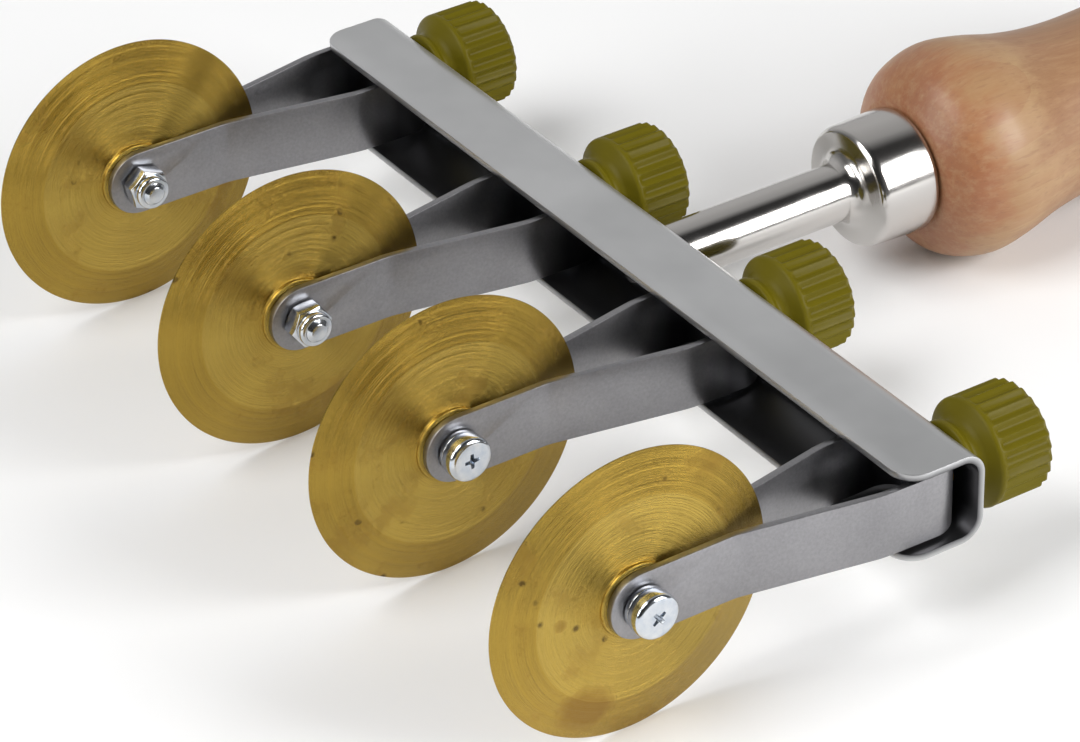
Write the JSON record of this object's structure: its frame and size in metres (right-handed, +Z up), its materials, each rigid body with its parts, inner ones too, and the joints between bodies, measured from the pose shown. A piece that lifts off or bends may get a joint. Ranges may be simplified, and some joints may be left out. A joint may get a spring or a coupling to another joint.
{
  "type": "pastry cutter wheel",
  "caption": "Hand pastry cutter with round brass cutting wheels on forks that slide along a handled channel rail and lock with fluted knobs.",
  "frame": {"origin": "middle of the tool's bounding box in plan, on the plane that the wheels and the handle rest on", "axes": "+X along the rail, towards the right-hand wheels; +Y from the wheels towards the handle, level; +Z up. The tool itself is tipped 2.8 degrees about X, handle end down, as it rests"},
  "size_m": [0.2048, 0.2771, 0.06],
  "materials": {
    "rail_steel": "satin ground stainless sheet",
    "fork_steel": "satin stainless strip",
    "nickel_plate": "bright nickel plate on turned steel",
    "zinc_plate": "bright blue-white zinc plate",
    "turned_brass": "lathe-turned, lightly tarnished",
    "insert_brass": "machined",
    "olive_plastic": "moulded, fine sheen",
    "hardwood": "turned and waxed"
  },
  "bodies": {
    "frame": {"rail": "rail_steel", "stem": "nickel_plate", "stem_nut": "zinc_plate", "handle": "hardwood"},
    "fork_assembly_1": {"fork_1": "fork_steel", "axle_screw_1": "zinc_plate", "spring_washer_1": "zinc_plate", "lock_nut_1": "zinc_plate", "clamp_bolt_1": "zinc_plate"},
    "wheel_assembly_1": {"wheel_1": "turned_brass"},
    "insert_assembly_1": {"knob_insert_1": "insert_brass"},
    "knob_assembly_1": {"knob_1": "olive_plastic"},
    "fork_assembly_2": {"fork_2": "fork_steel", "axle_screw_2": "zinc_plate", "spring_washer_2": "zinc_plate", "lock_nut_2": "zinc_plate", "clamp_bolt_2": "zinc_plate"},
    "wheel_assembly_2": {"wheel_2": "turned_brass"},
    "insert_assembly_2": {"knob_insert_2": "insert_brass"},
    "knob_assembly_2": {"knob_2": "olive_plastic"},
    "fork_assembly_3": {"fork_3": "fork_steel", "axle_screw_3": "zinc_plate", "spring_washer_3": "zinc_plate", "lock_nut_3": "zinc_plate", "clamp_bolt_3": "zinc_plate"},
    "wheel_assembly_3": {"wheel_3": "turned_brass"},
    "insert_assembly_3": {"knob_insert_3": "insert_brass"},
    "knob_assembly_3": {"knob_3": "olive_plastic"},
    "fork_assembly_4": {"fork_4": "fork_steel", "axle_screw_4": "zinc_plate", "spring_washer_4": "zinc_plate", "lock_nut_4": "zinc_plate", "clamp_bolt_4": "zinc_plate"},
    "wheel_assembly_4": {"wheel_4": "turned_brass"},
    "insert_assembly_4": {"knob_insert_4": "insert_brass"},
    "knob_assembly_4": {"knob_4": "olive_plastic"}
  },
  "joints": [
    {"name": "fork_slide_1", "type": "slide", "parent": "frame", "child": "fork_assembly_1", "axis": [1, 0, 0], "range_m": [-0.0006, 0.0203]},
    {"name": "wheel_spin_1", "type": "hinge", "parent": "fork_assembly_1", "child": "wheel_assembly_1", "pos_m": [-0.0912, -0.10858, 0.03], "axis": [1, 0, 0], "continuous": true},
    {"name": "knob_travel_1", "type": "slide", "parent": "fork_assembly_1", "child": "insert_assembly_1", "axis": [0, 0.9988, -0.0484], "range_m": [0, 0.0017]},
    {"name": "knob_turn_1", "type": "hinge", "parent": "insert_assembly_1", "child": "knob_assembly_1", "pos_m": [-0.0912, -0.02867, 0.02612], "axis": [0, 0.9988, -0.0484], "range_deg": [0, 720]},
    {"name": "fork_slide_2", "type": "slide", "parent": "frame", "child": "fork_assembly_2", "axis": [1, 0, 0], "range_m": [-0.02, 0.007]},
    {"name": "wheel_spin_2", "type": "hinge", "parent": "fork_assembly_2", "child": "wheel_assembly_2", "pos_m": [-0.0272, -0.10858, 0.03], "axis": [1, 0, 0], "continuous": true},
    {"name": "knob_travel_2", "type": "slide", "parent": "fork_assembly_2", "child": "insert_assembly_2", "axis": [0, 0.9988, -0.0484], "range_m": [0, 0.0017]},
    {"name": "knob_turn_2", "type": "hinge", "parent": "insert_assembly_2", "child": "knob_assembly_2", "pos_m": [-0.0272, -0.02867, 0.02612], "axis": [0, 0.9988, -0.0484], "range_deg": [0, 720]},
    {"name": "fork_slide_3", "type": "slide", "parent": "frame", "child": "fork_assembly_3", "axis": [1, 0, 0], "range_m": [-0.008, 0.019]},
    {"name": "wheel_spin_3", "type": "hinge", "parent": "fork_assembly_3", "child": "wheel_assembly_3", "pos_m": [0.029, -0.10858, 0.03], "axis": [1, 0, 0], "continuous": true},
    {"name": "knob_travel_3", "type": "slide", "parent": "fork_assembly_3", "child": "insert_assembly_3", "axis": [0, 0.9988, -0.0484], "range_m": [0, 0.0017]},
    {"name": "knob_turn_3", "type": "hinge", "parent": "insert_assembly_3", "child": "knob_assembly_3", "pos_m": [0.029, -0.02867, 0.02612], "axis": [0, 0.9988, -0.0484], "range_deg": [0, 720]},
    {"name": "fork_slide_4", "type": "slide", "parent": "frame", "child": "fork_assembly_4", "axis": [1, 0, 0], "range_m": [-0.019, 0.0015]},
    {"name": "wheel_spin_4", "type": "hinge", "parent": "fork_assembly_4", "child": "wheel_assembly_4", "pos_m": [0.0902, -0.10858, 0.03], "axis": [1, 0, 0], "continuous": true},
    {"name": "knob_travel_4", "type": "slide", "parent": "fork_assembly_4", "child": "insert_assembly_4", "axis": [0, 0.9988, -0.0484], "range_m": [0, 0.0017]},
    {"name": "knob_turn_4", "type": "hinge", "parent": "insert_assembly_4", "child": "knob_assembly_4", "pos_m": [0.0902, -0.02867, 0.02612], "axis": [0, 0.9988, -0.0484], "range_deg": [0, 720]}
  ],
  "couplings": [
    {"joint": "knob_travel_1", "follows": "knob_turn_1", "m_per_rad": 0.00012732},
    {"joint": "knob_travel_2", "follows": "knob_turn_2", "m_per_rad": 0.00012732},
    {"joint": "knob_travel_3", "follows": "knob_turn_3", "m_per_rad": 0.00012732},
    {"joint": "knob_travel_4", "follows": "knob_turn_4", "m_per_rad": 0.00012732}
  ]
}
